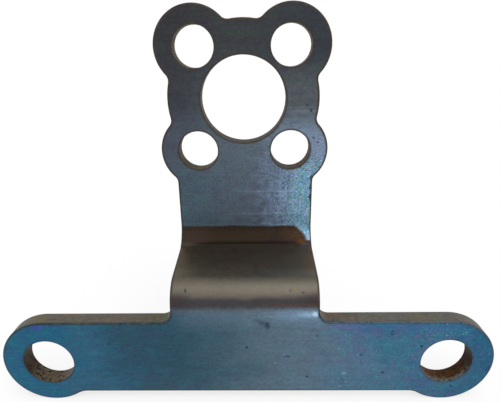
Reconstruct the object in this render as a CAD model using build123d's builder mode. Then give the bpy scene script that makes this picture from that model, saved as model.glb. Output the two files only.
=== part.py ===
from build123d import *

import os
from math import cos, isclose, radians, sin

# Speedometer bracket: one piece of mild steel plate, cut to outline, set back in a
# press brake with two opposite bends, deburred and drilled. The head carries the
# instrument and stands behind the bar, which bolts to the machine.
# Millimetres. +X runs along the bar, +Y from the front of the plate to its back,
# +Z up. The origin is midway between the bar's two bolt holes, on its rear face,
# where the bar seats on whatever carries it.

# Plate
plate_thickness = 5.0
edge_break = 0.4  # bevel that deburring leaves along the cut outline

# Bar: a straight strip that ends in two round eyes
bar_hole_spacing = 113.2
bar_hole_diameter = 14.3
bar_height = 23.7
eye_drop = 2.7  # how far an eye hangs below the bar's bottom edge
eye_blend_radius = 5.0  # in the corner under the bar, where the eye begins

# Neck, with its two bends
neck_width = 40.8
neck_root_radius = 3.0
setback = 25.0  # front of the bar to front of the head
bend_angle = 83.0
upper_bend_radius = 7.0  # inside radius, on the front of the plate
lower_bend_radius = 2.5  # inside radius, on the back of the plate
lower_bend_height = 3.7  # flat between the bar's top edge and the lower bend

# Head: a disc with a lobe round each stud hole
head_rise = 70.2  # bolt hole line up to the head's centre
head_disc_radius = 21.75
centre_hole_diameter = 24.5
stud_spacing_x = 27.2
stud_spacing_z = 29.1
stud_hole_diameter = 11.5
lobe_radius = 11.0
lobe_blend_radius = 2.5  # in the notches between lobes, disc and neck

# Levels and planes that follow from those sizes
eye_radius = (bar_height + eye_drop) / 2  # flush with the bar's top edge
bar_front_y = -plate_thickness
bar_top = eye_radius
bar_bottom = bar_top - bar_height
highest = head_rise + max(head_disc_radius, stud_spacing_z / 2 + lobe_radius)
overall_width = bar_hole_spacing + 2 * eye_radius
bar_front = Plane.XZ.offset(-bar_front_y)
head_front = Plane((0, bar_front_y + setback, head_rise), x_dir=(1, 0, 0), z_dir=(0, -1, 0))

# The two bends share the setback with the straight web between them
bend_radii = lower_bend_radius + plate_thickness + upper_bend_radius
bend_setback = bend_radii * (1 - cos(radians(bend_angle)))
web_length = (setback - bend_setback) / sin(radians(bend_angle))

# Outline seen from the front, which the bends don't change
with BuildSketch(bar_front) as outline:
    with Locations((0, head_rise)):
        Circle(head_disc_radius)
        with GridLocations(stud_spacing_x, stud_spacing_z, 2, 2):
            Circle(lobe_radius)
    Rectangle(neck_width, head_rise - stud_spacing_z / 2, align=(Align.CENTER, Align.MIN))
    with Locations((0, bar_top)):
        Rectangle(bar_hole_spacing, bar_height, align=(Align.CENTER, Align.MAX))
    with GridLocations(bar_hole_spacing, 0, 2, 1):
        Circle(eye_radius)

    corners = outline.vertices()
    notches = corners.filter_by(lambda v: v.Y > bar_top + lower_bend_height)
    neck_roots = corners.filter_by(lambda v: isclose(v.Y, bar_top) and isclose(abs(v.X), neck_width / 2))
    eye_ends = corners.filter_by(lambda v: isclose(v.Y, bar_bottom))
    fillet(notches, lobe_blend_radius)
    fillet(neck_roots, neck_root_radius)
    fillet(eye_ends, eye_blend_radius)

# Front skin seen from the side, from the bar's lowest edge up to the top of the head
with BuildLine(Plane.YZ.offset(overall_width / 2)) as front_skin:
    bar_run = Line((bar_front_y, -eye_radius), (bar_front_y, bar_top + lower_bend_height))
    lower_bend = JernArc(bar_run @ 1, bar_run % 1, lower_bend_radius + plate_thickness, -bend_angle)
    web = Line(lower_bend @ 1, lower_bend @ 1 + (lower_bend % 1) * web_length)
    upper_bend = JernArc(web @ 1, web % 1, upper_bend_radius, bend_angle)
    head_run = Line(upper_bend @ 1, (bar_front_y + setback, highest))

with BuildPart() as bracket:
    # A full-width strip takes the bends, and the outline is cut through it
    make_brake_formed(plate_thickness, overall_width, front_skin.line, side=Side.RIGHT)
    extrude(outline.sketch, amount=-(setback + plate_thickness), mode=Mode.INTERSECT)

    # Deburring runs along both skins, wherever one meets a cut wall
    cut_walls = bracket.faces().filter_by(lambda f: isclose(f.normal_at().Y, 0, abs_tol=1e-6))
    chamfer(cut_walls.edges().filter_by(Axis.Y, reverse=True), edge_break)

    # Clear passage for the instrument's cable and its four studs
    with Locations(head_front):
        Hole(centre_hole_diameter / 2)
        with GridLocations(stud_spacing_x, stud_spacing_z, 2, 2):
            Hole(stud_hole_diameter / 2)
    with Locations(bar_front):
        with GridLocations(bar_hole_spacing, 0, 2, 1):
            Hole(bar_hole_diameter / 2)

bracket.part.label = "bracket"
os.makedirs("parts", exist_ok=True)
export_step(bracket.part, "parts/bracket.step")
size = bracket.part.bounding_box().size
print(f"bracket {size.X:.1f} x {size.Y:.1f} x {size.Z:.2f} mm, web {web_length:.2f} mm")
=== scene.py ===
# %% [markdown]
# Speedometer bracket: a lesson in blank, bend and finish.
#
# The real bracket is one flat blank of 5 mm hot-rolled steel. It is cut to outline, drilled,
# and set back in a press brake with two opposite bends. This lesson follows that order:
# first the flat blank, then a Geometry Nodes tree that does the press brake's work, and then
# one finish for each kind of surface that the shop leaves on the plate. All sizes are
# millimetres times MM, because Blender works in metres here.

from math import acos, atan2, ceil, cos, hypot, pi, radians, sin, sqrt

import bpy
import numpy as np
from mathutils import Matrix, Vector
from mathutils.geometry import delaunay_2d_cdt


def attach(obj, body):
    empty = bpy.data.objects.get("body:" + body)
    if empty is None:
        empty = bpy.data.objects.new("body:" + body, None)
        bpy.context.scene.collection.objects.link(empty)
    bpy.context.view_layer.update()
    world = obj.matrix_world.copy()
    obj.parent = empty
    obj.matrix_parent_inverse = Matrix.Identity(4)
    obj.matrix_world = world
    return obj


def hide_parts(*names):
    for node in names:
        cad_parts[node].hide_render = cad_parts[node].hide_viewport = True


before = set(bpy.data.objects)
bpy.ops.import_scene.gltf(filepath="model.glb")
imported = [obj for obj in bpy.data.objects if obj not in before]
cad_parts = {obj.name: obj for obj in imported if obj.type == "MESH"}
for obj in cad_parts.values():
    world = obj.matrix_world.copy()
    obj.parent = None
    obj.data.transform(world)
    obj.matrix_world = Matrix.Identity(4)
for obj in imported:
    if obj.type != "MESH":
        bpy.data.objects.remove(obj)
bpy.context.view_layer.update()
MM = 0.001

# %% [markdown]
# Sizes of the real bracket. They are the ones that the construction drawing uses, with the
# origin midway between the bar's two bolt holes on its rear face. X runs along the bar,
# Y from front to back and Z up.

# %% Sizes of the plate, the bar, the neck and the head
PLATE = 5.0 * MM
OUTLINE_BREAK = 0.4 * MM
HOLE_BREAK = 0.2 * MM

BAR_HOLE_SPACING = 113.2 * MM
BAR_HOLE_RADIUS = 14.3 / 2 * MM
BAR_HEIGHT = 23.7 * MM
EYE_RADIUS = 13.2 * MM
EYE_BLEND = 5.0 * MM
BAR_TOP = EYE_RADIUS
BAR_BOTTOM = BAR_TOP - BAR_HEIGHT

NECK_HALF = 40.8 / 2 * MM
NECK_ROOT = 3.0 * MM
SETBACK = 25.0 * MM
BEND_ANGLE = radians(83.0)
UPPER_RADIUS = 7.0 * MM + PLATE / 2
LOWER_RADIUS = 2.5 * MM + PLATE / 2
LOWER_LINE = BAR_TOP + 3.7 * MM

HEAD_RISE = 70.2 * MM
DISC_RADIUS = 21.75 * MM
CENTRE_HOLE_RADIUS = 24.5 / 2 * MM
STUD_X = 27.2 / 2 * MM
STUD_Z = 29.1 / 2 * MM
STUD_HOLE_RADIUS = 11.5 / 2 * MM
LOBE_RADIUS = 11.0 * MM
NOTCH_RADIUS = 2.5 * MM
print(f"{(BAR_HOLE_SPACING + 2 * EYE_RADIUS) / MM:.1f} mm long, {2 * NECK_HALF / MM:.1f} mm at the neck")

# %% [markdown]
# A bend uses up a length of strip equal to its arc at mid-thickness. The flat blank is
# therefore taller than the finished bracket: everything above the bends moves up by the
# length of strip that the joggle takes, less the height that it gains.

# %% Developed lengths along the strip
lower_arc = LOWER_RADIUS * BEND_ANGLE
upper_arc = UPPER_RADIUS * BEND_ANGLE
radii = LOWER_RADIUS + UPPER_RADIUS
web = (SETBACK - radii * (1 - cos(BEND_ANGLE))) / sin(BEND_ANGLE)
WEB_LINE = LOWER_LINE + lower_arc
UPPER_LINE = WEB_LINE + web
HEAD_LINE = UPPER_LINE + upper_arc
joggle_height = radii * sin(BEND_ANGLE) + web * cos(BEND_ANGLE)
stretch = HEAD_LINE - LOWER_LINE - joggle_height
HEAD = HEAD_RISE + stretch
print(f"web {web / MM:.2f} mm, blank taller than the bracket by {stretch / MM:.2f} mm")

# %% [markdown]
# The outline is a chain of straight runs and tangent arcs. An arc that bulges keeps the steel
# inside it; an arc in a corner has its centre outside the steel. Where two neighbouring arcs
# meet, they share the point on the line between their centres, so the whole chain follows
# from the centres and radii alone. Each point also keeps its outward direction, which the
# rounded rim needs next.

# %% Arcs and runs with their outward directions
CHORD = 0.7 * MM
RUN_STEP = 2 * MM


def arc(centre, radius, start, end, bulge=1):
    """Points of an arc: against the clock where it bulges, and with the clock in a corner."""
    turn = bulge * ((bulge * (end - start)) % (2 * pi))
    count = max(3, ceil(abs(turn) * radius / CHORD))
    points = []
    for step in range(count + 1):
        angle = start + turn * step / count
        out = np.array((cos(angle), sin(angle)))
        points.append((np.array(centre) + radius * out, bulge * out))
    return points


def run(start, end, out, levels=()):
    """Points of a straight run, ends left out, at a steady step or at given levels of Z."""
    start, end = np.array(start), np.array(end)
    count = max(2, ceil(np.linalg.norm(end - start) / RUN_STEP))
    places = [start + (end - start) * step / count for step in range(1, count)]
    if len(levels):
        places = [np.array((start[0], level)) for level in levels]
    return [(place, np.array(out, float)) for place in places]


def corner_centre(disc, disc_radius, lobe, lobe_radius, corner, side):
    """Centre of a corner arc that touches two round edges from outside."""
    reach = hypot(lobe[0] - disc[0], lobe[1] - disc[1])
    near, far = disc_radius + corner, lobe_radius + corner
    swing = acos((near**2 + reach**2 - far**2) / (2 * near * reach))
    angle = atan2(lobe[1] - disc[1], lobe[0] - disc[0]) + side * swing
    return (disc[0] + near * cos(angle), disc[1] + near * sin(angle))


def towards(centre, other):
    """Direction from one centre to another, as an angle."""
    return atan2(other[1] - centre[1], other[0] - centre[0])


print(f"a quarter of an eye takes {len(arc((0, 0), EYE_RADIUS, 0, pi / 2))} points")

# %% [markdown]
# Rows of points cross the strip wherever it will curve, close together in the tight bend and
# wider in the soft one, and closest at the crease that the punch leaves.

# %% Levels of the rows across the bends
CREASE = 40.7 * MM
DIE_MARK = 18.2 * MM
CREASE_ROW = 0.16 * MM
CREASE_ROWS = 5
ROWS_ABOVE = HEAD_LINE + 12 * MM
rows = [
    np.linspace(LOWER_LINE, WEB_LINE, 30),
    np.linspace(WEB_LINE, UPPER_LINE, 9)[1:],
    np.linspace(UPPER_LINE, HEAD_LINE, 38)[1:],
    np.linspace(HEAD_LINE, ROWS_ABOVE, 7)[1:],
]
levels = np.concatenate(rows)
at_crease = CREASE + np.arange(-CREASE_ROWS, CREASE_ROWS + 1) * CREASE_ROW
levels = levels[np.abs(levels - CREASE) > (CREASE_ROWS + 1) * CREASE_ROW]
levels = np.sort(np.concatenate([levels, at_crease]))
print(f"{len(levels)} rows across the bends")

# %% The right half of the outline, from the bottom of the bar to the top of the head
eye = (BAR_HOLE_SPACING / 2, 0.0)
under_z = BAR_BOTTOM - EYE_BLEND
under_x = eye[0] - sqrt((EYE_RADIUS + EYE_BLEND) ** 2 - under_z**2)
under = (under_x, under_z)
root = (NECK_HALF + NECK_ROOT, BAR_TOP + NECK_ROOT)

disc = (0.0, HEAD)
low_lobe = (STUD_X, HEAD - STUD_Z)
high_lobe = (STUD_X, HEAD + STUD_Z)
collar_x = NECK_HALF + NOTCH_RADIUS
collar_drop = sqrt((LOBE_RADIUS + NOTCH_RADIUS) ** 2 - (collar_x - STUD_X) ** 2)
collar = (collar_x, low_lobe[1] - collar_drop)
waist_low = corner_centre(disc, DISC_RADIUS, low_lobe, LOBE_RADIUS, NOTCH_RADIUS, 1)
waist_high = corner_centre(disc, DISC_RADIUS, high_lobe, LOBE_RADIUS, NOTCH_RADIUS, -1)
crown = corner_centre(disc, DISC_RADIUS, high_lobe, LOBE_RADIUS, NOTCH_RADIUS, 1)

CORNER = -1
half = [(np.array((0.0, BAR_BOTTOM)), np.array((0.0, -1.0)))]
half += run((0, BAR_BOTTOM), (under_x, BAR_BOTTOM), (0, -1))
half += arc(under, EYE_BLEND, pi / 2, towards(under, eye), CORNER)
half += arc(eye, EYE_RADIUS, towards(eye, under), pi / 2)[1:]
half += run((eye[0], BAR_TOP), (root[0], BAR_TOP), (0, 1))
half += arc(root, NECK_ROOT, -pi / 2, pi, CORNER)
half += run((NECK_HALF, root[1]), (NECK_HALF, collar[1]), (1, 0), levels)
half += arc(collar, NOTCH_RADIUS, pi, towards(collar, low_lobe), CORNER)
half += arc(low_lobe, LOBE_RADIUS, towards(low_lobe, collar), towards(low_lobe, waist_low))[1:]
half += arc(waist_low, NOTCH_RADIUS, towards(waist_low, low_lobe), towards(waist_low, disc), CORNER)[1:]
half += arc(disc, DISC_RADIUS, towards(disc, waist_low), towards(disc, waist_high))[1:]
half += arc(waist_high, NOTCH_RADIUS, towards(waist_high, disc), towards(waist_high, high_lobe), CORNER)[1:]
half += arc(high_lobe, LOBE_RADIUS, towards(high_lobe, waist_high), towards(high_lobe, crown))[1:]
half += arc(crown, NOTCH_RADIUS, towards(crown, high_lobe), towards(crown, disc), CORNER)[1:]
half += arc(disc, DISC_RADIUS, towards(disc, crown), pi / 2)[1:]
print(f"{len(half)} points up the right half, to {half[-1][0][1] / MM:.1f} mm on the flat blank")

# %% The whole outline and the holes
mirror = np.array((-1.0, 1.0))
outline = half + [(place * mirror, out * mirror) for place, out in half[-2:0:-1]]


def hole(centre, radius):
    """A round hole, walked with the clock so that the steel is on the left as on the outline."""
    count = ceil(2 * pi * radius / CHORD)
    around = [-2 * pi * step / count for step in range(count)]
    rays = [np.array((cos(angle), sin(angle))) for angle in around]
    return [(np.array(centre) + radius * ray, -ray) for ray in rays]


holes = [hole(disc, CENTRE_HOLE_RADIUS)]
for side in (-1, 1):
    holes.append(hole((side * eye[0], 0), BAR_HOLE_RADIUS))
    for level in (low_lobe[1], high_lobe[1]):
        holes.append(hole((side * STUD_X, level), STUD_HOLE_RADIUS))
print(f"outline of {len(outline)} points, {len(holes)} holes")

# %% [markdown]
# A cut plate never has a knife edge: the shop runs a file or a flap wheel round it. Rings of
# points follow each edge through that small rounding, down the wall and round to the back.
# A Bevel modifier could do it too, but rings also leave a narrow band on each face, which
# later carries the wear along the rim, and they keep the big faces flat when shaded.

# %% Rings that carry an edge from the front face to the back
RIM_BAND = 0.45 * MM
WALL_BAND = 0.4 * MM
SCALE, RIM, CUT, BORE = range(4)


def rim_rings(edge_break, wall):
    """Rings as (inset from the wall, depth below the face) with the finish that follows each."""
    steps = [radians(30 * step) for step in range(4)]
    rings = [(edge_break + RIM_BAND, 0.0)]
    rings += [(edge_break * (1 - sin(step)), edge_break * (1 - cos(step))) for step in steps]
    rings += [(0.0, edge_break + WALL_BAND), (0.0, PLATE / 2)]
    rings += [(inset, PLATE - depth) for inset, depth in rings[-2::-1]]
    finishes = [SCALE, RIM, RIM, RIM] + [wall] * 4 + [RIM, RIM, RIM, SCALE]
    return rings, finishes


print(f"{len(rim_rings(OUTLINE_BREAK, CUT)[0])} rings round the outline")

# %% [markdown]
# The faces between the rings are filled by a constrained Delaunay triangulation. Its inside
# points are the rows across the bends and a loose grid elsewhere, kept clear of the rims.

# %% Which points lie in steel
GRID = 3 * MM
COLUMNS = 24
CLEAR_OF_RIM = 1.4 * MM


def in_steel(places, edges):
    """True where a line to the right crosses the edges an odd number of times."""
    x, z = places[:, :1], places[:, 1:]
    start, end = edges[:, 0], edges[:, 1]
    spans = (start[:, 1] > z) != (end[:, 1] > z)
    rise = np.where(end[:, 1] == start[:, 1], 1.0, end[:, 1] - start[:, 1])
    meets = start[:, 0] + (z - start[:, 1]) * (end[:, 0] - start[:, 0]) / rise
    return (spans & (meets > x)).sum(axis=1) % 2 == 1


def inside_points(edges):
    """Points of the grid and the rows that lie in the steel, clear of every rim."""
    across = np.arange(-COLUMNS, COLUMNS + 1) * GRID
    flat_low = np.arange(BAR_BOTTOM + 2 * MM, LOWER_LINE - MM, GRID)
    flat_high = np.arange(levels[-1] + 2 * MM, HEAD + STUD_Z + LOBE_RADIUS, GRID)
    heights = np.concatenate([flat_low, levels, flat_high])
    grid = np.array([(x, z) for z in heights for x in across])
    grid = grid[in_steel(grid, edges)]
    on_row = (grid[:, 1] >= LOWER_LINE) & (grid[:, 1] <= levels[-1])
    kept = []
    for place, row in zip(grid, on_row):
        to_side = abs(NECK_HALF - abs(place[0]))
        to_rim = np.linalg.norm(edges[:, 0] - place, axis=1).min()
        if (to_side if row else to_rim) > CLEAR_OF_RIM:
            kept.append(place)
    return np.array(kept)


print(f"grid of {GRID / MM:.0f} mm, kept {CLEAR_OF_RIM / MM:.1f} mm from every rim")

# %% Triangles of one face, as numbers of ring points and inside points
loops = [outline] + holes
breaks = [OUTLINE_BREAK] + [HOLE_BREAK] * len(holes)
inner = []
fences = []
for loop, edge_break in zip(loops, breaks):
    first = len(inner)
    inner += [place - out * (edge_break + RIM_BAND) for place, out in loop]
    count = len(loop)
    fences += [(first + i, first + (i + 1) % count) for i in range(count)]
edges = np.array(inner)[np.array(fences)]
inside = inside_points(edges)
flat = np.array(inner + list(inside))
WHOLE_HULL = 0
SAME_POINT = 1e-7
found = delaunay_2d_cdt([Vector(place) for place in flat], fences, [], WHOLE_HULL, SAME_POINT, True)
found_faces, found_from = found[2], found[3]
source = [origins[0] for origins in found_from]
triangles = np.array([[source[i] for i in face] for face in found_faces])
triangles = triangles[in_steel(flat[triangles].mean(axis=1), edges)].tolist()
print(f"{len(triangles)} triangles on each face, {len(inside)} points inside")

# %% The flat blank as one closed mesh
def placed(name, data):
    """A new object that stands in the scene."""
    made = bpy.data.objects.new(name, data)
    bpy.context.scene.collection.objects.link(made)
    return made


points = []
faces = []
finish = []
rim = []
front_of = []
back_of = []
for loop, edge_break, wall in zip(loops, breaks, [CUT] + [BORE] * len(holes)):
    rings, finishes = rim_rings(edge_break, wall)
    first = len(points)
    count = len(loop)
    for inset, depth in rings:
        flat_ring = [place - out * inset for place, out in loop]
        points += [(x, depth - PLATE, z) for x, z in flat_ring]
        rim += [0.0 if inset > edge_break else 1.0] * count
    for ring, kind in enumerate(finishes):
        here = first + ring * count
        for i in range(count):
            j = (i + 1) % count
            faces.append((here + i, here + count + i, here + count + j, here + j))
            finish.append(kind)
    front_of += range(first, first + count)
    back_of += range(first + (len(rings) - 1) * count, first + len(rings) * count)
front_of += range(len(points), len(points) + len(inside))
points += [(x, -PLATE, z) for x, z in inside]
back_of += range(len(points), len(points) + len(inside))
points += [(x, 0.0, z) for x, z in inside]
rim += [0.0] * (2 * len(inside))
faces += [tuple(front_of[i] for i in triangle) for triangle in triangles]
faces += [tuple(back_of[i] for i in reversed(triangle)) for triangle in triangles]
finish += [SCALE] * (2 * len(triangles))

blank_mesh = bpy.data.meshes.new("flat_blank")
blank_mesh.from_pydata(points, [], faces)
blank_mesh.attributes.new("finish", "INT", "FACE").data.foreach_set("value", finish)
blank_mesh.attributes.new("rim", "FLOAT", "POINT").data.foreach_set("value", rim)
blank_mesh.polygons.foreach_set("use_smooth", [True] * len(faces))
blank = placed("flat_blank", blank_mesh)
print(f"flat blank: {len(points)} points, {len(faces)} faces")

# %% [markdown]
# Now the press brake. A bend slides the strip back by the length that the arc has used and
# turns it round the arc's centre line. A point before the bend line doesn't turn, a point in
# the arc turns part of the way, and everything beyond turns by the full angle, so one Map
# Range node with its clamp tells the three apart. Its smooth step lets the bend begin and end
# gently, as steel does, where a plain arc would show a hard line in its shine. The upper bend
# is made first, as on the real brake, because the lower one then swings all that stands above.
#
# One helper adds a node, gives it its settings and joins its inputs.

# %% The node helper
def node(tree, kind, inputs=None, **settings):
    """Adds a node. Inputs are values or the output sockets that feed them."""
    made = tree.nodes.new(kind)
    for name, value in settings.items():
        setattr(made, name, value)
    for key, source in (inputs or {}).items():
        if isinstance(source, bpy.types.NodeSocket):
            tree.links.new(source, made.inputs[key])
        else:
            made.inputs[key].default_value = source
    return made


print("helper:", node.__name__)

# %% The press brake's named settings
brake = bpy.data.node_groups.new("press_brake", "GeometryNodeTree")
brake.interface.new_socket("Geometry", in_out="INPUT", socket_type="NodeSocketGeometry")
brake.interface.new_socket("Geometry", in_out="OUTPUT", socket_type="NodeSocketGeometry")
settings = {
    "Plate thickness": PLATE,
    "Bend angle": BEND_ANGLE,
    "Upper bend line": UPPER_LINE,
    "Upper bend radius": UPPER_RADIUS,
    "Lower bend line": LOWER_LINE,
    "Lower bend radius": LOWER_RADIUS,
    "Punch crease line": CREASE,
    "Punch crease depth": 0.32 * MM,
    "Punch crease width": 0.7 * MM,
    "Punch crease reach": 17 * MM,
    "Die mark line": DIE_MARK,
    "Die mark depth": 0.12 * MM,
    "Die mark width": 1.0 * MM,
    "Die mark reach": 21 * MM,
}
sockets = {}
for name, value in settings.items():
    sockets[name] = brake.interface.new_socket(name, in_out="INPUT", socket_type="NodeSocketFloat")
    sockets[name].default_value = value
entry = node(brake, "NodeGroupInput").outputs
print(f"the press brake has {len(sockets)} named settings")

# %% Remember where each point was on the flat blank
place = node(brake, "GeometryNodeInputPosition").outputs["Position"]
store = {"Geometry": entry["Geometry"], "Name": "blank", "Value": place}
stored = node(brake, "GeometryNodeStoreNamedAttribute", store, data_type="FLOAT_VECTOR", domain="POINT")
geometry = stored.outputs["Geometry"]
kept = node(brake, "GeometryNodeInputNamedAttribute", {"Name": "blank"}, data_type="FLOAT_VECTOR")
flat_place = node(brake, "ShaderNodeSeparateXYZ", {0: kept.outputs["Attribute"]}).outputs
half_back = {0: entry["Plate thickness"], 1: -0.5}
middle = node(brake, "ShaderNodeMath", half_back, operation="MULTIPLY").outputs[0]
print("attribute kept on every point:", stored.inputs["Name"].default_value)

# %% [markdown]
# The punch and the die press their own lines into the plate's front: a crease in the hollow
# of the upper bend and a shallower mark under the crest of the lower one. Both are grooves
# across the flat blank that fade at their ends and have no effect past mid-thickness.

# %% Grooves pressed into the front skin
FADE = 5 * MM
front_face = node(brake, "ShaderNodeMath", {0: middle, 1: 2.0}, operation="MULTIPLY").outputs[0]
to_front = node(brake, "ShaderNodeMapRange", {0: flat_place["Y"], 1: middle, 2: front_face}).outputs[0]
for mark in ("Punch crease", "Die mark"):
    line, deep, wide, reach = [entry[f"{mark} {size}"] for size in ("line", "depth", "width", "reach")]
    away = node(brake, "ShaderNodeMath", {0: flat_place["Z"], 1: line}, operation="SUBTRACT").outputs[0]
    distance = node(brake, "ShaderNodeMath", {0: away}, operation="ABSOLUTE").outputs[0]
    profile = {0: distance, 2: wide, 3: deep, 4: 0.0}
    groove = node(brake, "ShaderNodeMapRange", profile, interpolation_type="SMOOTHSTEP").outputs[0]
    sideways = node(brake, "ShaderNodeMath", {0: flat_place["X"]}, operation="ABSOLUTE").outputs[0]
    fade_from = node(brake, "ShaderNodeMath", {0: reach, 1: FADE}, operation="SUBTRACT").outputs[0]
    ends = {0: sideways, 1: fade_from, 2: reach, 3: 1.0, 4: 0.0}
    fade = node(brake, "ShaderNodeMapRange", ends, interpolation_type="SMOOTHSTEP").outputs[0]
    faded = node(brake, "ShaderNodeMath", {0: groove, 1: fade}, operation="MULTIPLY").outputs[0]
    pressed = node(brake, "ShaderNodeMath", {0: faded, 1: to_front}, operation="MULTIPLY").outputs[0]
    push = node(brake, "ShaderNodeCombineXYZ", {"Y": pressed}).outputs[0]
    moved = node(brake, "GeometryNodeSetPosition", {"Geometry": geometry, "Offset": push})
    geometry = moved.outputs["Geometry"]
    print(f"{mark}: {settings[f'{mark} depth'] / MM:.2f} mm deep")

# %% The two bends, the upper one first
TO_FRONT, TO_BACK = -1, 1
angle = entry["Bend angle"]
for bend, side in (("Upper", TO_FRONT), ("Lower", TO_BACK)):
    line, radius = entry[f"{bend} bend line"], entry[f"{bend} bend radius"]
    length = node(brake, "ShaderNodeMath", {0: radius, 1: angle}, operation="MULTIPLY").outputs[0]
    end = node(brake, "ShaderNodeMath", {0: line, 1: length}, operation="ADD").outputs[0]
    along_arc = {0: flat_place["Z"], 1: line, 2: end, 3: 0.0, 4: angle}
    turn = node(brake, "ShaderNodeMapRange", along_arc, interpolation_type="SMOOTHSTEP").outputs[0]
    used = node(brake, "ShaderNodeMath", {0: turn, 1: radius}, operation="MULTIPLY").outputs[0]
    slide = node(brake, "ShaderNodeCombineXYZ", {"Z": used}).outputs[0]
    now = node(brake, "GeometryNodeInputPosition").outputs[0]
    slid = node(brake, "ShaderNodeVectorMath", {0: now, 1: slide}, operation="SUBTRACT").outputs[0]
    off_middle = {0: radius, 1: side, 2: middle}
    behind = node(brake, "ShaderNodeMath", off_middle, operation="MULTIPLY_ADD").outputs[0]
    centre = node(brake, "ShaderNodeCombineXYZ", {"Y": behind, "Z": line}).outputs[0]
    swing = node(brake, "ShaderNodeMath", {0: turn, 1: -side}, operation="MULTIPLY").outputs[0]
    round_centre = {"Vector": slid, "Center": centre, "Angle": swing}
    turned = node(brake, "ShaderNodeVectorRotate", round_centre, rotation_type="X_AXIS").outputs[0]
    bent = node(brake, "GeometryNodeSetPosition", {"Geometry": geometry, "Position": turned})
    geometry = bent.outputs["Geometry"]
    print(f"{bend} bend: {settings[f'{bend} bend radius'] / MM:.1f} mm at mid-thickness")

# %% [markdown]
# Finishes come next. Colours are written as sRGB hex values, as a paint card gives them, and
# Blender's shaders want linear light, so one function turns the one into the other. Every
# finish reads the place that a point had on the flat blank, in millimetres. The patterns then
# follow the steel round the bends, which they wouldn't do on Object coordinates.

# %% Colours, and materials that know the flat blank
def colour(code):
    """Linear RGBA of an sRGB hex value."""
    parts = [int(code[i : i + 2], 16) / 255 for i in (0, 2, 4)]
    linear = [part / 12.92 if part <= 0.04045 else ((part + 0.055) / 1.055) ** 2.4 for part in parts]
    return (*linear, 1.0)


def new_material(name):
    """A material with an empty tree, with the blank's millimetres as a vector and as X, Y, Z."""
    material = bpy.data.materials.new(name)
    material.use_nodes = True
    tree = material.node_tree
    tree.nodes.clear()
    kept = node(tree, "ShaderNodeAttribute", attribute_name="blank", attribute_type="GEOMETRY")
    scaled = {0: kept.outputs["Vector"], "Scale": 1 / MM}
    mm = node(tree, "ShaderNodeVectorMath", scaled, operation="SCALE").outputs[0]
    return material, tree, mm, node(tree, "ShaderNodeSeparateXYZ", {0: mm}).outputs


white = colour("ffffff")
print("white in linear light:", [round(part, 3) for part in white])

# %% [markdown]
# A finish is laid as a painter lays one. Patterns come first, each with the real size of its
# blotches. Masks say where a coat goes, with soft edges. Coats then go on top of each other,
# and last a sum of patterns makes the surface lighter and darker, rougher and smoother.

# %% Patterns, masks, coats and sums
APART = 7.3  # between one pattern and the next, so that no two lie in step
ALL_ROUND = (1, 1, 1)  # not stretched


def patterns(tree, place, table):
    """Cloudy patterns by name, from (blotch size in mm, stretch along X, Y and Z, detail)."""
    made = {}
    for number, (name, (size, stretch, detail)) in enumerate(table.items()):
        squeeze = tuple(1 / (size * factor) for factor in stretch)
        moved = {"Vector": place, "Location": (APART * number,) * 3, "Scale": squeeze}
        mapped = node(tree, "ShaderNodeMapping", moved).outputs[0]
        cloud = {"Vector": mapped, "Scale": 1.0, "Detail": detail}
        made[name] = node(tree, "ShaderNodeTexNoise", cloud).outputs["Fac"]
    return made


def where(tree, *parts):
    """A mask that holds where all its parts do: masks, or steps as (value, none at, all at)."""
    whole = None
    for part in parts:
        if isinstance(part, tuple):
            value, none, everything = part
            limits = {"Value": value, "From Min": none, "From Max": everything}
            part = node(tree, "ShaderNodeMapRange", limits, interpolation_type="SMOOTHSTEP").outputs[0]
        if whole is not None:
            part = node(tree, "ShaderNodeMath", {0: part, 1: whole}, operation="MULTIPLY").outputs[0]
        whole = part
    return whole


def coats(tree, base, layers):
    """Lays colours, hex values or sockets, over a base: (strength, colour, parts of its mask)."""
    for strength, coat, *parts in layers:
        mask = where(tree, *parts)
        if strength < 1:
            mask = node(tree, "ShaderNodeMath", {0: mask, 1: strength}, operation="MULTIPLY").outputs[0]
        laid = {0: mask, 6: base, 7: colour(coat) if isinstance(coat, str) else coat}
        base = node(tree, "ShaderNodeMix", laid, data_type="RGBA").outputs[2]
    return base


def weighed(tree, start, parts):
    """A start value plus each pattern's distance from its mean, a half, times a weight."""
    centre = -0.5 * sum(weight for pattern, weight in parts)
    total = node(tree, "ShaderNodeMath", {0: start, 1: centre}, operation="ADD").outputs[0]
    for pattern, weight in parts:
        joined = {0: pattern, 1: weight, 2: total}
        total = node(tree, "ShaderNodeMath", joined, operation="MULTIPLY_ADD").outputs[0]
    return total


def finish_off(tree, base, rough, relief, relief_depth, metallic):
    """Ends a finish with its colour, gloss and relief in one shader. The depth is in mm."""
    raised = {"Height": relief, "Distance": relief_depth * MM, "Strength": 1.0}
    normal = node(tree, "ShaderNodeBump", raised).outputs[0]
    surface = {"Base Color": base, "Metallic": metallic, "Roughness": rough, "Normal": normal}
    shader = node(tree, "ShaderNodeBsdfPrincipled", surface).outputs[0]
    node(tree, "ShaderNodeOutputMaterial", {"Surface": shader})


print("helpers:", ", ".join(helper.__name__ for helper in (patterns, where, coats, weighed, finish_off)))

# %% [markdown]
# Hot-rolled steel leaves the mill with a skin of oxide, the mill scale: a hard, smooth,
# blue-grey film with a dull metallic lustre. It has a faint grain along the bar, it shimmers
# from teal to violet where its thickness changes, and it carries small dark pits. An image
# could show one such plate, but noise in layers gives it on every side and at any size.
#
# The scale's own grit is about a tenth of a millimetre. The render's pixel is three tenths,
# so the grit is drawn at half a millimetre, or it would average away.

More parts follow.
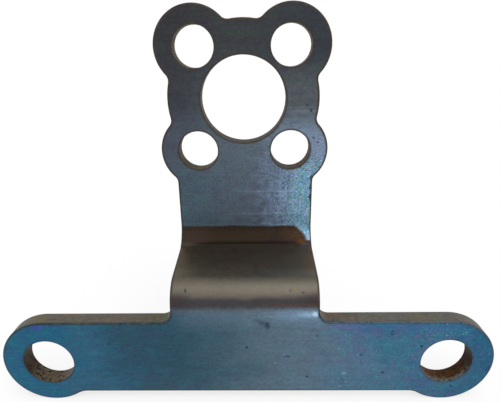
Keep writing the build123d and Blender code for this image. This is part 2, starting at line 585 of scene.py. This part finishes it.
# %% Patterns of the mill scale
scale_skin, skin, mm, (along, depth, height) = new_material("mill_scale_on_hot_rolled_steel")
film = patterns(skin, mm, {
    "grit": (0.5, (1.1, 1, 1), 1.0),
    "coarse grit": (0.9, (1.2, 1, 1), 1.0),
    "grain": (0.5, (6, 1, 1), 2.0),
    "rolling lines": (1.0, (30, 1, 1), 1.0),
    "runs": (1.4, (1, 1, 3.5), 2.0),
    "patches": (3.2, (1.4, 1, 1), 2.0),
    "drift": (11.0, (1.3, 1, 1), 1.0),
    "ragged": (2.5, (3, 1, 1), 2.0),
    "blotches": (1.7, (1.5, 1, 1), 2.0),
})
front = where(skin, (depth, -2.4, -2.6))
sides = node(skin, "ShaderNodeMath", {0: along}, operation="ABSOLUTE").outputs[0]
print("patterns of the mill scale:", ", ".join(film))

# %% Colours along the bar: blue eyes, a dull teal left half and a brighter blue right half, partly the scale's tint and partly painted reflection
bar_place = weighed(skin, along, [(film["drift"], 26.0)])
bar_colour = coats(skin, colour("225e7c"), [
    (1.0, "2e4f60", (bar_place, -46, -28)),
    (1.0, "3f5b6b", (bar_place, -22, -6)),
    (1.0, "546a78", (bar_place, -10, 6)),
    (1.0, "5a7081", (bar_place, 4, 18)),
    (1.0, "52728b", (bar_place, 18, 32)),
    (1.0, "3f6d88", (bar_place, 28, 46)),
    (1.0, "285d7e", (bar_place, 56, 70)),
    (0.1, "5d7686", (height, 2, -10), (sides, 40, 25)),
    (0.35, "39697f", (height, 0, -8), (along, 20, 30)),
    (0.5, "3a6076", (bar_place, -54, -46), (bar_place, -32, -42)),
])
print(f"{len(skin.nodes)} nodes with the bar's colours")

# %% Colours up the neck and the head, from three columns: left, centre and right. They are partly the scale's tint and partly painted reflection, darker up the head, and the right column is a painted sheen
column_steps = [
    ("495b67", [(62, 74, "4b535f"), (77, 88, "3d4147"), (90, 102, "38383c")]),
    ("525d69", [(60, 73, "586470"), (78, 104, "3d4043")]),
    ("7a9ab1", [(62, 73, "798ba1"), (75, 87, "53595f"), (90, 101, "383d43")]),
]
columns = []
for at_foot, steps in column_steps:
    upwards = [(1.0, code, (height, low, high)) for low, high, code in steps]
    columns.append(coats(skin, colour(at_foot), upwards))
left_column, centre_column, right_sheen_column = columns
broken_up = weighed(skin, along, [(film["runs"], 5.0), (film["coarse grit"], 9.0)])
# The right column, a painted sheen, goes on the front only, broken up into runs and grit.
to_right = where(skin, (broken_up, 1.5, 19), front)
across = [(1.0, centre_column, (along, -19, -2)), (1.0, right_sheen_column, to_right)]
neck_colour = coats(skin, left_column, across)
plate_colour = coats(skin, bar_colour, [(1.0, neck_colour, (height, 20, 44))])
print(f"{len(skin.nodes)} nodes with the neck's and the head's")

# %% Teal, violet and cyan clouds in the film, and the violet and cyan of the painted sheen on the neck's right
below_head = where(skin, (height, 80, 66))
sheen_area_on_neck = where(skin, (height, 74, 64), (height, 43, 49), front)
teal = where(skin, (film["patches"], 0.53, 0.7), below_head)
violet = where(skin, (film["patches"], 0.47, 0.3), below_head)
right_bar = where(skin, (along, 12, 30), (height, 18, 14))
left_bar = where(skin, (along, -16, -48), (height, 18, 14))
head_only = where(skin, (height, 76, 88))
violet_row = where(skin, (height, 5, 9), (height, 13, 11), (along, 18, 26), (along, 52, 42))
violet_sheen = where(skin, sheen_area_on_neck, (along, -2, 9), (along, 15, 11), (film["patches"], 0.38, 0.58))
beside_hole = where(skin, (height, 78, 82), (height, 89, 85), (along, 9, 17))
plate_colour = coats(skin, plate_colour, [
    (0.14, "2f7480", teal),
    (0.16, "565084", violet),
    (0.28, "2c4a3c", (film["patches"], 0.53, 0.7), head_only),
    (0.28, "433a52", (film["patches"], 0.47, 0.3), head_only),
    (0.2, "868e96", (film["rolling lines"], 0.5, 0.7), beside_hole),
    (0.45, "2f628e", (height, 8.4, 10.6), (along, 24, 34), front),
    # Painted sheen on the neck's right: a violet veil and cyan runs.
    (0.35, "747aa0", violet_sheen),
    (0.5, "6ca9be", sheen_area_on_neck, (along, 12, 17), (film["runs"], 0.62, 0.42)),
    (0.15, "6a6290", violet_row, (film["patches"], 0.56, 0.4)),
    (0.3, "625c8e", right_bar, (film["blotches"], 0.55, 0.66)),
    (0.3, "2f7c8c", right_bar, (film["blotches"], 0.46, 0.34)),
    (0.2, "3a588c", left_bar, (film["blotches"], 0.54, 0.66)),
    (0.22, "1f7a88", left_bar, (film["blotches"], 0.46, 0.34)),
])
print(f"{len(skin.nodes)} nodes with the clouds")

# %% [markdown]
# On the right of the neck and in the eye beside it, the film's grains differ most: blue beside
# cyan beside violet. This is partly the film's own hues and partly painted sparkle of the
# painted sheen there. A coloured noise does that, because its three channels wander apart.

# %% Glitter of the thin film, with painted sparkle where the sheen is painted
GLITTER_GRAIN = 0.55
glitter_size = {"Vector": mm, "Scale": 1 / GLITTER_GRAIN, "Detail": 1.0}
hues = node(skin, "ShaderNodeTexNoise", glitter_size).outputs["Color"]
near_right_eye = where(skin, (along, 8, 48), (height, 18, 14))
neck_only = where(skin, below_head, (height, 42, 47))
sheen_on_neck = where(skin, to_right, neck_only)
glitter = 0.4
for mask, extra in ((sheen_on_neck, 1.0), (near_right_eye, 0.45)):
    more = {0: mask, 1: extra, 2: glitter}
    glitter = node(skin, "ShaderNodeMath", more, operation="MULTIPLY_ADD").outputs[0]
off_mean = node(skin, "ShaderNodeVectorMath", {0: hues, 1: (0.5, 0.5, 0.5)}, operation="SUBTRACT").outputs[0]
gained = node(skin, "ShaderNodeVectorMath", {0: off_mean, "Scale": glitter}, operation="SCALE").outputs[0]
around_one = node(skin, "ShaderNodeVectorMath", {0: gained, 1: (1, 1, 1)}, operation="ADD").outputs[0]
glittering = {0: around_one, 1: plate_colour}
plate_colour = node(skin, "ShaderNodeVectorMath", glittering, operation="MULTIPLY").outputs[0]
print(f"glitter in grains of {GLITTER_GRAIN} mm")

# %% [markdown]
# Pits and light specks are single dots: a Voronoi pattern gives every cell one centre, and
# only the cells that a random number picks get their dot. They are thickest on the right
# half of the bar. A few marks are drawn one by one, because they are this bracket's own: a
# scuff under the bend, pits on the bar and on the crest, scratches on the head.

# %% Pits and specks by the dozen
DOT_SOFTNESS = 0.3


def dots(tree, place, cell, radius, share):
    """Round dots of a radius in millimetres, in a share of the cells of a Voronoi pattern."""
    moved = {"Vector": place, "Location": (cell, 0, cell), "Scale": (1 / cell,) * 3}
    mapped = node(tree, "ShaderNodeMapping", moved).outputs[0]
    cells = node(tree, "ShaderNodeTexVoronoi", {"Vector": mapped, "Scale": 1.0})
    number = node(tree, "ShaderNodeSeparateColor", {0: cells.outputs["Color"]}).outputs[0]
    picked = (number, 1 - share, 1.001 - share)
    edge = radius / cell
    outside, within = edge * (1 + DOT_SOFTNESS), edge * (1 - DOT_SOFTNESS)
    return where(tree, (cells.outputs["Distance"], outside, within), picked)


pits = dots(skin, mm, cell=4.2, radius=0.45, share=0.35)
small_pits = dots(skin, mm, cell=2.2, radius=0.26, share=0.4)
specks = dots(skin, mm, cell=2.6, radius=0.26, share=0.4)
right_half = where(skin, (along, -10, 20), (height, 22, 14))
scratched = where(skin, (along, 46, 52), (along, 66, 62), (height, 7.0, 8.5), (height, 12, 11), front)
plate_colour = coats(skin, plate_colour, [
    (0.5, "1f3450", pits, right_half),
    (0.4, "24405e", small_pits, right_half),
    (0.2, "22303c", small_pits, below_head),
    (0.4, "90b6cc", specks, right_half),
    (0.28, "9cb8d2", (film["grit"], 0.6, 0.72), scratched),
])
print(f"{len(skin.nodes)} nodes with the pits and the specks")

# %% Marks one by one
MARK_EDGE = 0.95
MARK_RAGGEDNESS = 0.9
MARK_STRENGTH = 0.8
mark_edge = patterns(skin, mm, {"edge": (0.6, ALL_ROUND, 1.0)})["edge"]


def spot(x, z, width, tall, fade=0.4):
    """A slightly ragged mark on the front, from its place on the blank, its size and its fade."""
    offset = {0: mm, 1: (x, -PLATE / MM, z)}
    away = node(skin, "ShaderNodeVectorMath", offset, operation="SUBTRACT").outputs[0]
    unit = {0: away, 1: (2 / width, 1, 2 / tall)}
    scaled = node(skin, "ShaderNodeVectorMath", unit, operation="MULTIPLY").outputs[0]
    reach = node(skin, "ShaderNodeVectorMath", {0: scaled}, operation="LENGTH").outputs["Value"]
    ragged = weighed(skin, reach, [(mark_edge, MARK_RAGGEDNESS)])
    return where(skin, (ragged, MARK_EDGE + fade / 2, MARK_EDGE - fade / 2))


def spots(table):
    """Coats for a table of marks: x, z, width, height and colour."""
    return [(MARK_STRENGTH, code, spot(x, z, width, tall)) for x, z, width, tall, code in table]


marks = [
    (0.4, 5.0, 0.9, 0.9, "1d2a36"),
    (-38.5, 6.3, 0.8, 0.7, "24424f"),
    (17.5, -5.2, 0.9, 0.8, "26323e"),
    (12.0, 1.8, 1.0, 0.8, "33475a"),
    (39.0, -3.7, 0.9, 0.8, "24405a"),
    (59.0, -8.7, 0.8, 0.9, "203650"),
    (49.0, 5.3, 1.0, 1.0, "203f5c"),
    (40.5, 10.3, 0.8, 0.6, "22405c"),
    (19.4, 84.6, 0.8, 1.0, "33383a"),
    (18.2, 86.0, 0.7, 0.7, "33373a"),
    (20.3, 76.6, 0.7, 0.7, "33404c"),
    (21.6, 75.3, 0.9, 0.6, "33404c"),
    (20.1, 64.3, 1.2, 2.0, "2b3138"),
    (19.9, 61.3, 1.0, 1.8, "333b42"),
    (19.9, 58.2, 1.0, 2.0, "2b3138"),
]
plate_colour = coats(skin, plate_colour, spots(marks))
STREAK = 0.8
wavy = weighed(skin, height, [(film["rolling lines"], 1.2)])
for level in (60.3, 53.0):
    band = [(wavy, level + edge, level) for edge in (-STREAK, STREAK)]
    plate_colour = coats(skin, plate_colour, [(0.16, "9db9cc", *band, (along, -8, 8), front)])
print(f"{len(marks)} single marks on the bar and the head")

# %% [markdown]
# In the joggle the scale didn't survive. Just under the lower bend the bar carries a painted
# sheen. The die rubbed the crest of the lower bend down to pale steel, made paler here with a
# painted highlight, and left a dark line under it; the web above is darkened with a painted
# reflection of the neck. The hollow of the upper bend has a brown band above the crease, partly
# matt oxide and partly painted reflection and shade, and the crease and the strip just under it
# carry painted shade. The back of the joggle is its front turned over, so there the same coats
# are read from the other end.

# %% Coats of the joggle, from the bar up, with painted sheen, highlight, reflection and shade among them
TURNED_OVER = (LOWER_LINE + HEAD_LINE) / MM
other_end = node(skin, "ShaderNodeMath", {0: TURNED_OVER, 1: height}, operation="SUBTRACT").outputs[0]
joggle = node(skin, "ShaderNodeMix", {0: front, 2: other_end, 3: height}, data_type="FLOAT").outputs[0]
uneven = weighed(skin, joggle, [(film["ragged"], 1.0)])
BOW = -0.02
bowed = node(skin, "ShaderNodeMath", {0: sides, 1: BOW, 2: uneven}, operation="MULTIPLY_ADD").outputs[0]
past_crease = where(skin, (joggle, 40.2, 40.8))
joggle_colour = coats(skin, plate_colour, [
    # Painted sheen: the bar is lighter and bluer just under the lower bend, most on the right.
    (0.4, "66798a", (uneven, 9, 16), (sides, 24, 12)),
    (0.3, "7f9fb6", (uneven, 10, 15.5), (along, 2, 19), (along, 22, 20)),
    (0.35, "666c72", (uneven, 15.0, 17.2)),
    (1.0, "434143", (uneven, 16.5, 18.3)),
    # The crest: pale steel rubbed by the die, made paler with a painted highlight.
    (1.0, "605b52", (bowed, 18.9, 19.9)),
    (1.0, "625a4e", (uneven, 21.4, 25.0)),
    # The web: darker with a painted reflection of the neck that stands over it.
    (1.0, "5a4f43", (uneven, 25.5, 29)),
    (0.3, "51453a", (uneven, 29, 34)),
    (0.35, "4f4731", (uneven, 25, 30), (along, -10, -18)),
    (0.5, "53402c", (uneven, 24.5, 28), (along, 2, 14)),
    # Painted shade just under the crease.
    (0.7, "211d19", (joggle, 37.3, 39.1)),
    (0.12, "7c7266", (bowed, 19.0, 20.0), (uneven, 24, 22.5), (along, -6, -15)),
    (0.65, "3f3537", (uneven, 21.4, 19.2), (uneven, 17.6, 18.2), (sides, 13, 20)),
    (0.5, "5a463c", (uneven, 18.9, 18.3), (uneven, 17.6, 18.0), (along, 2, 12)),
    # The brown band above the crease: partly brown oxide, partly painted reflection and shade of the hollow.
    (1.0, "3d3129", past_crease),
    (1.0, "332920", past_crease, (sides, 16, 8)),
    (0.35, "4a3216", past_crease, (along, 9, 16)),
])
print(f"turned-over joggle reads from {TURNED_OVER:.1f} mm")

# %% The brown band, partly oxide and partly painted reflection and shade, ends in a round corner on the right, and rust gathers in it
CORNER_START, CORNER_CURVE = 42.0, 0.075
past_corner = node(skin, "ShaderNodeMath", {0: uneven, 1: CORNER_START}, operation="SUBTRACT").outputs[0]
squared = node(skin, "ShaderNodeMath", {0: past_corner, 1: 2.0}, operation="POWER").outputs[0]
curve = {0: squared, 1: CORNER_CURVE, 2: along}
curved = node(skin, "ShaderNodeMath", curve, operation="MULTIPLY_ADD").outputs[0]
right_of_band = where(skin, (curved, 18.0, 19.8), (joggle, 41.2, 42.2))
above_band = where(skin, (uneven, 48.3, 49.3))
off_band = node(skin, "ShaderNodeMath", {0: above_band, 1: right_of_band}, operation="MAXIMUM").outputs[0]
skin_colour = coats(skin, joggle_colour, [(1.0, plate_colour, off_band)])
from_crease = node(skin, "ShaderNodeMath", {0: joggle, 1: CREASE / MM}, operation="SUBTRACT").outputs[0]
off_crease = node(skin, "ShaderNodeMath", {0: from_crease}, operation="ABSOLUTE").outputs[0]
RUST, SOOT = "6c3d12", "1c1a16"
# Painted shade in the crease: a dark line along the punch's groove.
crease_shade = where(skin, (off_crease, 1.5, 0.3), (along, -20, -9), (along, 17.5, 14))
joggle_marks = [
    (20.1, 37.9, 1.2, 2.6, RUST),
    (20.1, 34.8, 1.2, 1.6, SOOT),
    (-16.2, 20.7, 0.8, 0.7, "35382a"),
    (12.4, 20.6, 0.8, 0.5, "5d463a"),
    (13.7, 20.8, 1.1, 0.5, "66603a"),
    (15.9, 20.3, 0.9, 0.4, "4c3a30"),
]
# Soft ones: x, z, width, height, strength and colour. Most are stains; the three light blue ones at the
# neck's right root are painted sheen.
sheens = [
    (3.4, 13.7, 2.6, 1.2, 0.4, "37425a"),
    (5.0, 13.0, 2.6, 1.3, 0.55, "2d3850"),
    (6.2, 12.2, 1.5, 2.0, 0.75, "222c46"),
    # Painted sheen at the neck's right root, with a bright core.
    (14.5, 15.8, 15.0, 3.0, 0.3, "8aaaca"),
    (17.4, 15.8, 5.4, 1.6, 0.5, "a2c2e2"),
    (19.2, 15.9, 1.5, 1.5, 0.6, "cce8f8"),
    (9.5, 41.6, 9.0, 3.0, 0.35, "33202a"),
    (17.3, 41.2, 2.3, 2.4, 0.75, "623a14"),
    (16.4, 45.2, 3.0, 4.0, 0.4, "523c22"),
    (18.6, 38.6, 3.0, 3.4, 0.4, "4c5558"),
    (-58.2, 12.0, 3.2, 1.9, 0.65, "4648a0"),
    (27.5, 12.0, 8.0, 2.4, 0.5, "5c6294"),
    (50.0, -7.6, 6.0, 3.6, 0.35, "4c4c88"),
    (47.5, -0.5, 4.5, 2.0, 0.3, "3c4a84"),
    (68.6, -2.4, 1.2, 2.0, 0.6, "2a3560"),
    (28.0, -4.0, 1.2, 1.0, 0.5, "86a8bc"),
    (-18.2, 39.8, 4.5, 2.6, 0.4, "544e3b"),
]
SOFT = 1.4
clouds = [(full, code, spot(x, z, width, tall, SOFT)) for x, z, width, tall, full, code in sheens]
# The painted shade in the crease goes on first, then the soft clouds and sheens and the single marks.
skin_colour = coats(skin, skin_colour, [(0.45, "17110e", crease_shade)] + clouds + spots(joggle_marks))
print(f"{len(sheens)} soft clouds and sheens and {len(joggle_marks)} single marks on the joggle")

# %% [markdown]
# The rim attribute is 1 on the rounded edge and falls to 0 across the narrow band beside it.
# Handling wears the scale there: brown on the head and the joggle, dark along the bar.

# %% Wear along the rims, then light and dark with painted glints, gloss and relief
worn = node(skin, "ShaderNodeAttribute", attribute_name="rim", attribute_type="GEOMETRY").outputs["Fac"]
at_rim = where(skin, (worn, 0.0, 0.8))
up_the_head = where(skin, (height, 50, 64))
skin_colour = coats(skin, skin_colour, [
    (0.35, "2c3136", at_rim),
    (0.6, "4c3d34", at_rim, (height, 16, 20), (height, 44, 38)),
    (0.6, "4a3f34", at_rim, up_the_head),
])
shades = [("grit", 0.45), ("coarse grit", 0.4), ("grain", 0.25), ("rolling lines", 0.16), ("patches", 0.35)]
even_light = weighed(skin, 1.0, [(film[name], weight) for name, weight in shades])
# Painted glints: lighter and darker grains, strongest in the painted sheen on the neck's right and fainter
# over the whole neck.
glint = weighed(skin, 0.0, [(film["grit"], 1.5), (film["runs"], 0.8)])
on_neck = {0: neck_only, 1: 0.3, 2: sheen_on_neck}
glint_share = node(skin, "ShaderNodeMath", on_neck, operation="MULTIPLY_ADD").outputs[0]
glinting = {0: glint, 1: glint_share, 2: even_light}
light = node(skin, "ShaderNodeMath", glinting, operation="MULTIPLY_ADD").outputs[0]
rubbed = where(skin, (uneven, 17.8, 19.5), (joggle, 41, 40))
calm = node(skin, "ShaderNodeMath", {0: rubbed, 1: 0.55}, operation="MULTIPLY").outputs[0]
calmed = node(skin, "ShaderNodeMix", {0: calm, 2: light, 3: 1.0}, data_type="FLOAT").outputs[0]
lit = node(skin, "ShaderNodeVectorMath", {0: skin_colour, "Scale": calmed}, operation="SCALE").outputs[0]

in_band = where(skin, past_crease, (off_band, 1.0, 0.0))
dull = node(skin, "ShaderNodeMapRange", {"Value": in_band, "To Min": 0.44, "To Max": 0.66}).outputs[0]
rough = weighed(skin, dull, [(film["coarse grit"], 0.2), (film["patches"], 0.12)])
relief = weighed(skin, 0.5, [(film["grit"], 0.5), (film["grain"], 0.4), (pits, -0.8), (small_pits, -0.5)])
finish_off(skin, lit, rough, relief, relief_depth=0.03, metallic=0.9)
print(f"{scale_skin.name}: {len(skin.nodes)} nodes")

# %% [markdown]
# The cut edge is bare steel that a torch opened and a grinder went over: tan-grey and silky,
# with streaks along the cut, fine drag lines through the thickness, and blotches of olive
# and rust brown where it has begun to tarnish. The drag lines of a real cut are half a
# millimetre apart and are drawn nearly twice as far, so that the render can show them.

# %% Cut wall
cut_wall, cut, cut_mm, (cut_x, cut_y, cut_z) = new_material("torch_cut_edge_dressed_by_grinding")
wall = patterns(cut, cut_mm, {
    "streaks": (0.7, (7, 0.5, 7), 2.0),
    "drag lines": (0.8, (1, 9, 1), 2.0),
    "tarnish": (4.0, (1.2, 0.8, 1.2), 2.0),
    "mottle": (1.3, ALL_ROUND, 2.0),
    "fine": (0.45, ALL_ROUND, 1.0),
})
cut_sides = node(cut, "ShaderNodeMath", {0: cut_x}, operation="ABSOLUTE").outputs[0]
# Painted shade: the wall round the curve of each eye, which faces away from the light, is darker.
shaded_round_the_eye = where(cut, (cut_sides, 56, 66), (cut_z, 20, 15))
at_root = where(cut, (cut_z, 30, 16))
on_the_head = where(cut, (cut_z, 30, 48))
cut_colour = coats(cut, colour("5e574d"), [
    (0.7, "5f5e5a", (cut_x, -5, 30)),
    (0.75, "50533c", at_root, (cut_x, -34, -22), (cut_x, 0, -5)),
    (0.75, "4a5150", at_root, (cut_x, 34, 22), (cut_x, 0, 5)),
    (0.6, "6c4c30", at_root, (cut_x, 34, 25), (cut_x, 0, 5), (cut_y, -3.6, -2.2)),
    (0.5, "56594a", (wall["tarnish"], 0.5, 0.66)),
    (0.5, "6a5444", (wall["tarnish"], 0.5, 0.36)),
    (0.4, "74695c", (wall["mottle"], 0.52, 0.7)),
    (0.4, "47443b", (wall["mottle"], 0.46, 0.32)),
    (0.35, "474d4c", (cut_y, -3.8, -4.5)),
    # Painted shade round the eyes.
    (0.6, "4a4b40", shaded_round_the_eye),
    (0.5, "5c5c26", (cut_x, -62, -59.5), (cut_x, -55, -57.5), (cut_z, 9, 11)),
    (0.25, "4e5c3c", (cut_x, 44, 47), (cut_x, 56, 52), (cut_z, 9, 11)),
    (0.4, "5e3a2c", (cut_x, 58, 62), (cut_z, 3, 6), (cut_y, -3.4, -4.2)),
    (0.6, "4c463c", on_the_head),
])
cut_shades = [("streaks", 0.8), ("drag lines", 0.45), ("fine", 0.5)]
cut_light = weighed(cut, 1.0, [(wall[name], weight) for name, weight in cut_shades])
shaded = {0: cut_colour, "Scale": cut_light}
cut_lit = node(cut, "ShaderNodeVectorMath", shaded, operation="SCALE").outputs[0]
cut_rough = weighed(cut, 0.52, [(wall["streaks"], 0.2), (wall["tarnish"], 0.25)])
cut_relief = weighed(cut, 0.5, [(wall["streaks"], 0.5), (wall["drag lines"], 0.8)])
finish_off(cut, cut_lit, cut_rough, cut_relief, relief_depth=0.06, metallic=0.7)
print(f"{cut_wall.name}: {len(cut.nodes)} nodes")

# %% [markdown]
# The bores were drilled and never oiled. Light rust has settled on the turned steel: a dark
# brown film with grey metal showing through and grains of brighter rust. The right hand eye
# is redder, and in the head's holes the film is thin, dark and olive. A drill's turning marks
# are a fifth of a millimetre apart and are drawn at half a millimetre, to show in the render.

# %% Bore wall
bore_wall, bore, bore_mm, (bore_x, bore_y, bore_z) = new_material("drilled_bore_with_light_rust")
turned = patterns(bore, bore_mm, {
    "film": (1.6, ALL_ROUND, 3.0),
    "grains": (0.8, ALL_ROUND, 1.0),
    "dark grains": (0.9, ALL_ROUND, 1.0),
    "turning": (0.5, (6, 0.5, 6), 1.0),
})
in_bar = where(bore, (bore_z, 30, 20))
in_right_eye = where(bore, (bore_x, 30, 50), in_bar)
uneven_depth = weighed(bore, bore_y, [(turned["film"], 2.0)])
far_half = where(bore, (uneven_depth, -4.3, -3.1))
mossy = where(bore, (bore_y, -2.2, -3.2), (turned["film"], 0.52, 0.44))
in_head = where(bore, (bore_z, 30, 40))
bore_colour = coats(bore, colour("38332a"), [
    (0.6, "484118", in_head, (bore_x, -8, -12)),
    (0.5, "482c18", in_head, (bore_x, 12, 17)),
    (1.0, "54544d", in_bar),
    (0.5, "6a4c38", in_bar, (turned["film"], 0.46, 0.6)),
    (0.45, "858074", in_bar, (turned["dark grains"], 0.52, 0.62)),
    (0.65, "8a5430", in_bar, (turned["grains"], 0.54, 0.64)),
    (0.35, "4a4d40", in_bar, (bore_x, -51, -58)),
    (0.8, "2a2019", in_bar, (bore_x, -55, -61), (bore_z, -6, -3)),
    (0.4, "545430", in_bar, (bore_x, -54, -59), (turned["film"], 0.47, 0.56)),
    (0.5, "5c3320", in_bar, (bore_x, -52, -56), (turned["film"], 0.48, 0.38)),
    (0.95, "382006", in_right_eye, far_half),
    (0.7, "5a2e0e", in_right_eye, far_half, (turned["film"], 0.48, 0.56)),
    (0.6, "7a3c12", in_right_eye, far_half, (turned["grains"], 0.55, 0.64)),
    (0.7, "545020", in_right_eye, far_half, mossy),
    (0.8, "60696c", in_right_eye, (bore_y, -3.4, -4.4)),
    (0.55, "33281e", in_right_eye, (bore_x, 58, 62), (bore_z, -5, -2)),
    (0.85, "1f0e0b", in_right_eye, (bore_x, 58.5, 61), (bore_z, -3.0, -0.5)),
    (0.8, "151210", (turned["dark grains"], 0.45, 0.35)),
])
bore_rough = weighed(bore, 0.62, [(turned["film"], 0.2)])
bore_relief = weighed(bore, 0.5, [(turned["grains"], 0.6), (turned["turning"], 0.6)])
finish_off(bore, bore_colour, bore_rough, bore_relief, relief_depth=0.07, metallic=0.85)
print(f"{bore_wall.name}: {len(bore.nodes)} nodes")

# %% [markdown]
# The broken edge was filed after the cut, so it is bare steel that has gone dark since. On
# the bar it reads as a thin dark line between the blue face and the tan wall, and on the
# head it has turned brown. A file leaves nicks, which show as lighter and rougher places, and
# scratches a tenth of a millimetre apart, drawn at half a millimetre to show in the render.

# %% Broken edge
broken_edge, rim_tree, rim_mm, (rim_x, _, rim_z) = new_material("filed_edge_gone_dark")
filed = patterns(rim_tree, rim_mm, {"nicks": (1.3, ALL_ROUND, 2.0), "scratches": (0.5, (4, 1, 4), 1.0)})
dent = where(rim_tree, (rim_x, 19.6, 20.2), (rim_x, 21.8, 21.2), (rim_z, 14.6, 15.1), (rim_z, 16.6, 16.1))
rim_colour = coats(rim_tree, colour("333f47"), [
    (0.8, "4d5d67", (rim_x, 10, 35)),
    (1.0, "40372d", (rim_z, 16, 22)),
    (0.45, "5c5348", (filed["nicks"], 0.5, 0.66)),
    (0.5, "1d2022", (filed["nicks"], 0.47, 0.34)),
    (0.9, "0c1014", dent),
])
rim_rough = weighed(rim_tree, 0.5, [(filed["nicks"], 0.3)])
finish_off(rim_tree, rim_colour, rim_rough, filed["scratches"], relief_depth=0.04, metallic=0.8)
print(f"{broken_edge.name}: {len(rim_tree.nodes)} nodes")

# %% [markdown]
# The tree ends with the finishes: each face was numbered by the ring that made it, and one
# Set Material node per finish picks its own number.

# %% Finish the press brake's tree
whole = node(brake, "GeometryNodeRealizeInstances", {"Geometry": geometry})
geometry = whole.outputs["Geometry"]
kinds = node(brake, "GeometryNodeInputNamedAttribute", {"Name": "finish"}, data_type="INT")
for kind, material in ((SCALE, scale_skin), (RIM, broken_edge), (CUT, cut_wall), (BORE, bore_wall)):
    pick = {"A": kinds.outputs["Attribute"], "B": kind}
    chosen = node(brake, "FunctionNodeCompare", pick, data_type="INT", operation="EQUAL").outputs[0]
    finished = {"Geometry": geometry, "Selection": chosen, "Material": material}
    geometry = node(brake, "GeometryNodeSetMaterial", finished).outputs["Geometry"]
node(brake, "NodeGroupOutput", {"Geometry": geometry})
print(f"press brake: {len(brake.nodes)} nodes")

# %% Run the press brake and keep its result as a plain mesh
blank_mesh.materials.append(scale_skin)
bending = blank.modifiers.new("press_brake", "NODES")
bending.node_group = brake
for name, value in settings.items():
    bending[sockets[name].identifier] = value
bpy.context.view_layer.update()
bent_mesh = bpy.data.meshes.new_from_object(blank.evaluated_get(bpy.context.evaluated_depsgraph_get()))
bent_mesh.name = "bracket_plate"
bpy.data.objects.remove(blank)
bracket = placed("bracket_plate", bent_mesh)
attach(bracket, "root")
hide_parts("bracket")
print("finishes on the plate:", [material.name for material in bent_mesh.materials])

# %% [markdown]
# The stage: a white floor that the two eyes touch, with the object's own soft shadow on it,
# a white world behind, and one wide soft lamp, high in front and a little to the right.

# %% Rays that should see the white backdrop
def white_to_eye_and_metal(tree):
    """1 for camera, glossy and transmission rays, and 0 for the rays that carry soft light."""
    path = node(tree, "ShaderNodeLightPath").outputs
    seen = path["Is Camera Ray"]
    for kind in ("Is Glossy Ray", "Is Transmission Ray"):
        seen = node(tree, "ShaderNodeMath", {0: seen, 1: path[kind]}, operation="MAXIMUM").outputs[0]
    return seen


print("helper:", white_to_eye_and_metal.__name__)

# %% Floor
FLOOR_LEVEL = -EYE_RADIUS
FLOOR_REACH = 3.0
floor_mesh = bpy.data.meshes.new("floor")
corners = [(x * FLOOR_REACH, y * FLOOR_REACH, FLOOR_LEVEL) for x, y in ((-1, -1), (1, -1), (1, 1), (-1, 1))]
floor_mesh.from_pydata(corners, [], [(0, 1, 2, 3)])
floor = placed("floor", floor_mesh)
print(f"floor at {FLOOR_LEVEL / MM:.1f} mm")

# %% White paper on the floor: part of it glows, so that it is white and still takes the shadow
paper = bpy.data.materials.new("white_paper_floor")
paper.use_nodes = True
sheet = paper.node_tree
sheet.nodes.clear()
GLOW_SHARE = 0.6
GLOW_STRENGTH = 1.22
part_seen = {0: white_to_eye_and_metal(sheet), 1: GLOW_SHARE}
lift = node(sheet, "ShaderNodeMath", part_seen, operation="MULTIPLY").outputs[0]
matt = node(sheet, "ShaderNodeBsdfDiffuse", {"Color": colour("e7e7e7")}).outputs[0]
glow = node(sheet, "ShaderNodeEmission", {"Color": white, "Strength": GLOW_STRENGTH}).outputs[0]
mixed = node(sheet, "ShaderNodeMixShader", {0: lift, 1: matt, 2: glow}).outputs[0]
node(sheet, "ShaderNodeOutputMaterial", {"Surface": mixed})
floor_mesh.materials.append(paper)
print(f"{GLOW_SHARE:.0%} of the paper glows to the camera")

# %% White world
world = bpy.data.worlds.new("studio")
bpy.context.scene.world = world
world.use_nodes = True
air = world.node_tree
air.nodes.clear()
SOFT_LIGHT = 0.6
softness = {"Value": white_to_eye_and_metal(air), "To Min": SOFT_LIGHT, "To Max": 1.0}
strength = node(air, "ShaderNodeMapRange", softness).outputs[0]
sky = node(air, "ShaderNodeBackground", {"Color": white, "Strength": strength}).outputs[0]
node(air, "ShaderNodeOutputWorld", {"Surface": sky})
print(f"soft light from all round at {SOFT_LIGHT} of white")

# %% One wide soft lamp, high in front and a little to the right
lamp = bpy.data.lights.new("wide_soft_lamp", "SUN")
lamp.energy = 1.0
lamp.angle = radians(50)
lamp_holder = placed("wide_soft_lamp", lamp)
lamp_from = Vector((0.25, -0.45, 0.85))
lamp_holder.rotation_euler = lamp_from.to_track_quat("Z", "Y").to_euler()
print(f"the lamp stands {90 - np.degrees(lamp_from.angle((0, 0, 1))):.0f} degrees above the floor")

# %% [markdown]
# The camera stands where the photographer stood: a little above the bracket's top, close,
# and looking down. Its place and turn were found by matching the outlines of the bar, the
# neck and the five head holes.

# %% Camera
PHOTO_WIDTH = 500
FOCAL_PIXELS = 423.755
camera_data = bpy.data.cameras.new("camera")
camera_data.sensor_width = 36.0
camera_data.lens = FOCAL_PIXELS / PHOTO_WIDTH * camera_data.sensor_width
camera_data.clip_start = 0.005
camera = placed("camera", camera_data)
CAMERA_PLACE = (3.9885 * MM, -103.098 * MM, 83.707 * MM)
YAW, PITCH, ROLL = radians(1.1921), radians(-19.6682), radians(-0.9724)
level_turn = Matrix.Rotation(YAW, 4, "Z") @ Matrix.Rotation(pi / 2 + PITCH, 4, "X")
camera.matrix_world = Matrix.Translation(CAMERA_PLACE) @ level_turn @ Matrix.Rotation(ROLL, 4, "Z")
bpy.context.scene.camera = camera
bpy.context.scene.view_settings.view_transform = "Standard"
print(f"camera with a {camera_data.lens:.1f} mm lens, {-CAMERA_PLACE[1] / MM:.0f} mm in front of the origin")
